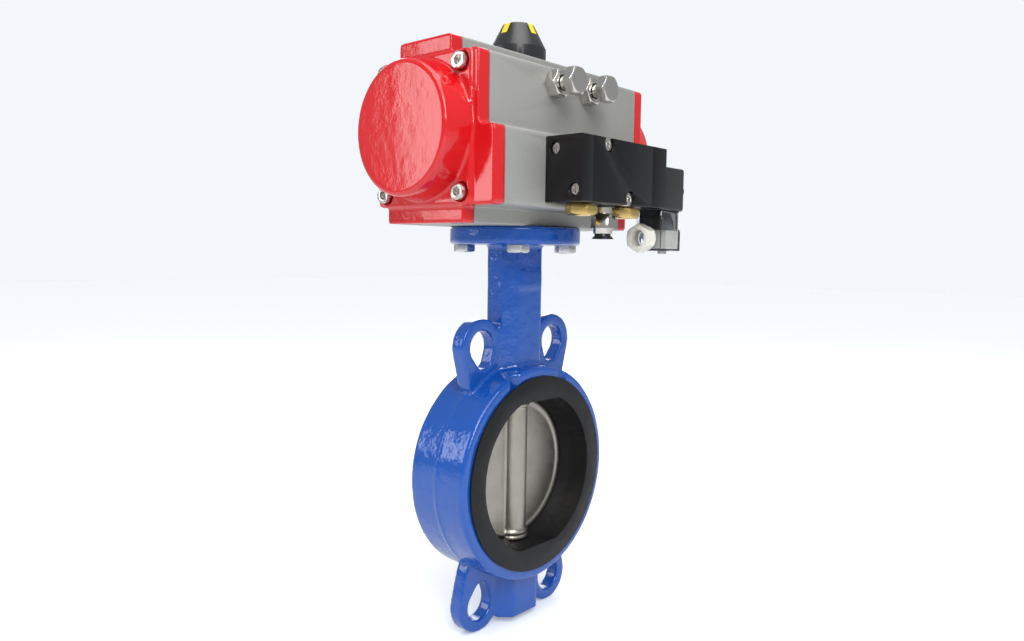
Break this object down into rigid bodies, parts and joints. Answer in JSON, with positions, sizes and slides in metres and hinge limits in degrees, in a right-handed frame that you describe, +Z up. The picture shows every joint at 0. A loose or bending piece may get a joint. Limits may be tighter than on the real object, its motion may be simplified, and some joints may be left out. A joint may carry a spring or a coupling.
{
  "type": "pneumatic actuated butterfly valve",
  "caption": "Wafer butterfly valve with a rubber seat and centring ears, turned by a rack-and-pinion air actuator with a side-mounted solenoid valve.",
  "frame": {"origin": "where the stem axis crosses the pipe axis, at the centre of the closed disc", "axes": "+Z up the stem towards the actuator, +Y along the pipe away from the solenoid valve, +X along the actuator towards the coil"},
  "size_m": [0.2106, 0.1315, 0.4111],
  "materials": {
    "painted_cast_iron": "glossy thick blue enamel over cast iron",
    "seat_rubber": "smooth black EPDM",
    "cast_stainless": "fine cast stainless steel with a machined rim",
    "stainless_steel": "turned stainless steel",
    "zinc_plated_steel": "zinc plated steel",
    "spring_steel": "oiled spring steel",
    "bearing_plastic": "off-white bearing plastic",
    "anodised_aluminium": "grey sand-blasted and hard anodised",
    "painted_end_cap": "glossy red powder coat on die-cast aluminium",
    "bare_aluminium": "machined",
    "indicator_plastic": "satin black moulded plastic",
    "indicator_yellow": "yellow moulded insert",
    "black_anodised_aluminium": "satin black anodised",
    "coil_plastic": "moulded black plastic",
    "button_plastic": "orange moulded plastic",
    "clear_plastic": "clear polycarbonate",
    "pale_plastic": "off-white nylon",
    "brass": "bright turned brass",
    "nickel_plated_brass": "nickel plating",
    "collar_plastic": "black acetal"
  },
  "bodies": {
    "root": {"valve_body": "painted_cast_iron", "seat_liner": "seat_rubber", "stem_bushes": "bearing_plastic", "stem_seals": "seat_rubber", "stem_circlip": "stainless_steel", "bottom_plug": "zinc_plated_steel", "flange_bolts": "zinc_plated_steel", "actuator_body": "anodised_aluminium", "end_cap_left": "painted_end_cap", "end_cap_right": "painted_end_cap", "cap_seals": "seat_rubber", "cap_screws": "stainless_steel", "lower_bearing": "bearing_plastic", "upper_bearing": "bearing_plastic", "outer_spring_left": "spring_steel", "outer_spring_right": "spring_steel", "inner_spring_left": "spring_steel", "inner_spring_right": "spring_steel", "stop_bolts": "stainless_steel", "lock_nuts": "stainless_steel", "valve_block": "black_anodised_aluminium", "plain_cover": "black_anodised_aluminium", "pilot_head": "black_anodised_aluminium", "cover_screws": "stainless_steel", "block_screws": "stainless_steel", "port_seals": "seat_rubber", "spool_seals": "seat_rubber", "spool_spring": "spring_steel", "core_tube": "stainless_steel", "coil": "coil_plastic", "coil_nut": "coil_plastic", "connector_gasket": "seat_rubber", "connector_hood": "clear_plastic", "contact_carrier": "coil_plastic", "terminal_block": "pale_plastic", "connector_screw": "stainless_steel", "gland_nut": "pale_plastic", "silencers": "brass", "fitting_body": "nickel_plated_brass"},
    "drive_shaft": {"valve_disc": "cast_stainless", "upper_stem": "stainless_steel", "lower_stem": "stainless_steel", "drive_pinion": "zinc_plated_steel", "pinion_seals": "seat_rubber", "thrust_washer": "bearing_plastic", "pinion_circlip": "stainless_steel", "indicator_dome": "indicator_plastic", "indicator_marks": "indicator_yellow", "indicator_screw": "stainless_steel"},
    "left_piston": {"piston_left": "bare_aluminium", "piston_seal_left": "seat_rubber", "guide_pad_left": "bearing_plastic"},
    "right_piston": {"piston_right": "bare_aluminium", "piston_seal_right": "seat_rubber", "guide_pad_right": "bearing_plastic"},
    "valve_spool": {"spool": "bare_aluminium"},
    "pilot_armature": {"armature": "stainless_steel"},
    "manual_button": {"override_button": "button_plastic"},
    "fitting_collar": {"release_collar": "collar_plastic"}
  },
  "joints": [
    {"name": "quarter_turn", "type": "hinge", "parent": "root", "child": "drive_shaft", "pos_m": [0, 0, 0], "axis": [0, 0, 1], "range_deg": [0, 90], "stiffness_Nm_per_rad": 4, "springref_deg": -57.3},
    {"name": "left_piston_slide", "type": "slide", "parent": "root", "child": "left_piston", "axis": [-1, 0, 0], "range_m": [0, 0.0252], "deforming": ["outer_spring_left", "inner_spring_left"]},
    {"name": "right_piston_slide", "type": "slide", "parent": "root", "child": "right_piston", "axis": [1, 0, 0], "range_m": [0, 0.0252], "deforming": ["outer_spring_right", "inner_spring_right"]},
    {"name": "spool_slide", "type": "slide", "parent": "root", "child": "valve_spool", "axis": [-1, 0, 0], "range_m": [0, 0.005], "stiffness_N_per_m": 300, "springref_m": -0.004, "deforming": ["spool_spring"]},
    {"name": "armature_slide", "type": "slide", "parent": "root", "child": "pilot_armature", "axis": [1, 0, 0], "range_m": [0, 0.0015], "stiffness_N_per_m": 300, "springref_m": -0.001},
    {"name": "override_press", "type": "slide", "parent": "root", "child": "manual_button", "axis": [0, 0, -1], "range_m": [0, 0.0015], "stiffness_N_per_m": 500, "springref_m": -0.001},
    {"name": "collar_release", "type": "slide", "parent": "root", "child": "fitting_collar", "axis": [0, 0, 1], "range_m": [0, 0.0012], "stiffness_N_per_m": 500, "springref_m": -0.001}
  ],
  "couplings": [
    {"joint": "left_piston_slide", "follows": "quarter_turn", "m_per_rad": 0.016},
    {"joint": "right_piston_slide", "follows": "quarter_turn", "m_per_rad": 0.016}
  ]
}
